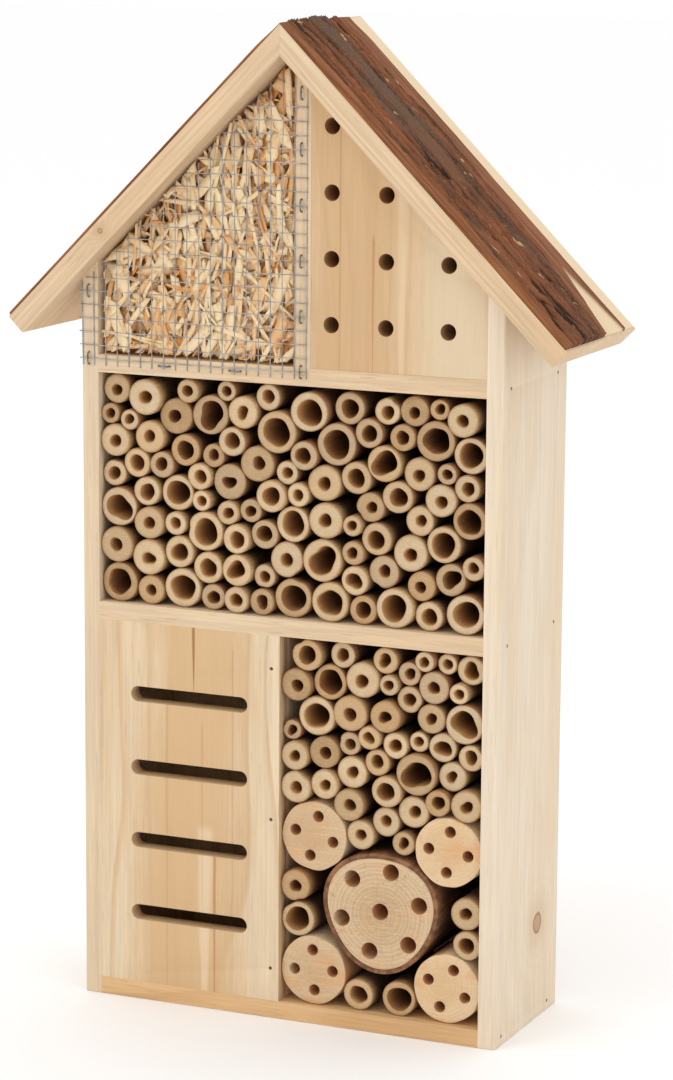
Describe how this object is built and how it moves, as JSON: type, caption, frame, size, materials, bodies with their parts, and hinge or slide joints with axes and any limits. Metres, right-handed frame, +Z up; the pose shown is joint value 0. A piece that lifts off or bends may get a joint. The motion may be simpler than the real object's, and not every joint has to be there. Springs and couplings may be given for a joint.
{
  "type": "insect hotel",
  "caption": "Narrow wooden insect hotel with a bark-covered pitched roof, bamboo canes, drilled logs and block, a slotted butterfly chamber and wire-fronted shavings.",
  "frame": {"origin": "middle of the flat underside, halfway across the body and halfway between its front and back edges", "axes": "+Z up, the front with the slots and canes faces -Y, +X towards the drilled block's side"},
  "size_m": [0.3028, 0.0975, 0.5078],
  "materials": {
    "board_pine": "planed, unfinished",
    "front_pine": "planed, unfinished",
    "roof_pine": "planed, unfinished",
    "plywood": "sanded, unfinished",
    "bark": "rough natural bark",
    "bamboo": "natural cane, sawn ends",
    "log_wood": "sawn ends",
    "shavings": "loose curled shavings",
    "galvanised_wire": "dull zinc",
    "nail_steel": "plain steel",
    "hanger_steel": "zinc plated"
  },
  "bodies": {
    "root": {"attic_post": "board_pine", "attic_shelf": "board_pine", "back_nails": "nail_steel", "back_panel": "plywood", "base_board": "board_pine", "big_log": "log_wood", "big_log_bark": "bark", "butterfly_front": "front_pine", "drilled_block": "front_pine", "front_nails": "nail_steel", "hanger_plate": "hanger_steel", "hanger_screws": "hanger_steel", "left_bark": "bark", "left_roof_board": "roof_pine", "left_side_panel": "board_pine", "lower_canes_1": "bamboo", "lower_canes_10": "bamboo", "lower_canes_11": "bamboo", "lower_canes_2": "bamboo", "lower_canes_3": "bamboo", "lower_canes_4": "bamboo", "lower_canes_5": "bamboo", "lower_canes_6": "bamboo", "lower_canes_7": "bamboo", "lower_canes_8": "bamboo", "lower_canes_9": "bamboo", "lower_divider": "board_pine", "lower_shelf": "board_pine", "mesh_staples": "galvanised_wire", "middle_canes_1": "bamboo", "middle_canes_2": "bamboo", "middle_canes_3": "bamboo", "middle_canes_4": "bamboo", "middle_canes_5": "bamboo", "middle_canes_6": "bamboo", "middle_canes_7": "bamboo", "middle_canes_8": "bamboo", "right_bark": "bark", "right_roof_board": "roof_pine", "right_side_panel": "board_pine", "roof_nails": "nail_steel", "side_nails": "nail_steel", "small_log_high_left": "log_wood", "small_log_high_right": "log_wood", "small_log_low_left": "log_wood", "small_log_low_right": "log_wood", "wire_mesh": "galvanised_wire", "wood_shavings": "shavings"}
  },
  "joints": []
}
